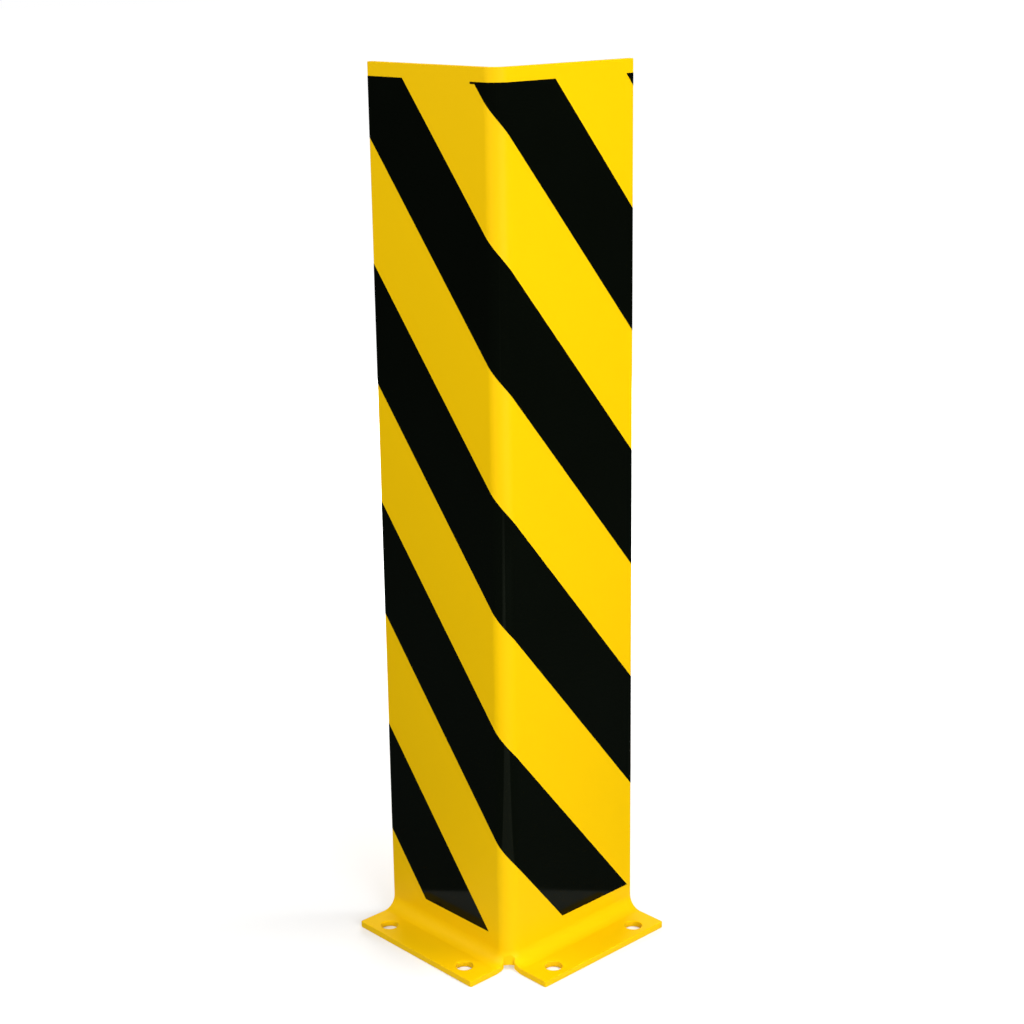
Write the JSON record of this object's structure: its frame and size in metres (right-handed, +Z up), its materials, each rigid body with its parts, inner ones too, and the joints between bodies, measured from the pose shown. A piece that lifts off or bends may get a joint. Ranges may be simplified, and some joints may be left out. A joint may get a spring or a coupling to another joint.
{
  "type": "corner impact guard",
  "caption": "Corner guard folded from one thick steel sheet: two tall legs at a right angle, bolt-down feet folded outward at the floor, and slanted black film stripes on yellow.",
  "frame": {"origin": "on the floor, under the middle of the guard's bounding box", "axes": "+Z up along the vertical bend; the guarded corner's edge line faces +X and -Y; one leg faces -Y and runs back towards -X, the other faces +X and runs towards +Y"},
  "size_m": [0.202, 0.202, 0.8],
  "materials": {
    "powder_coat": "yellow powder coat, satin gloss with a fine grain",
    "black_film": "smooth glossy black self-adhesive film"
  },
  "bodies": {
    "root": {"folded_sheet": "powder_coat", "film_stripe_1": "black_film", "film_stripe_2": "black_film", "film_stripe_3": "black_film", "film_stripe_4": "black_film", "film_stripe_5": "black_film", "film_offcut": "black_film"}
  },
  "joints": []
}
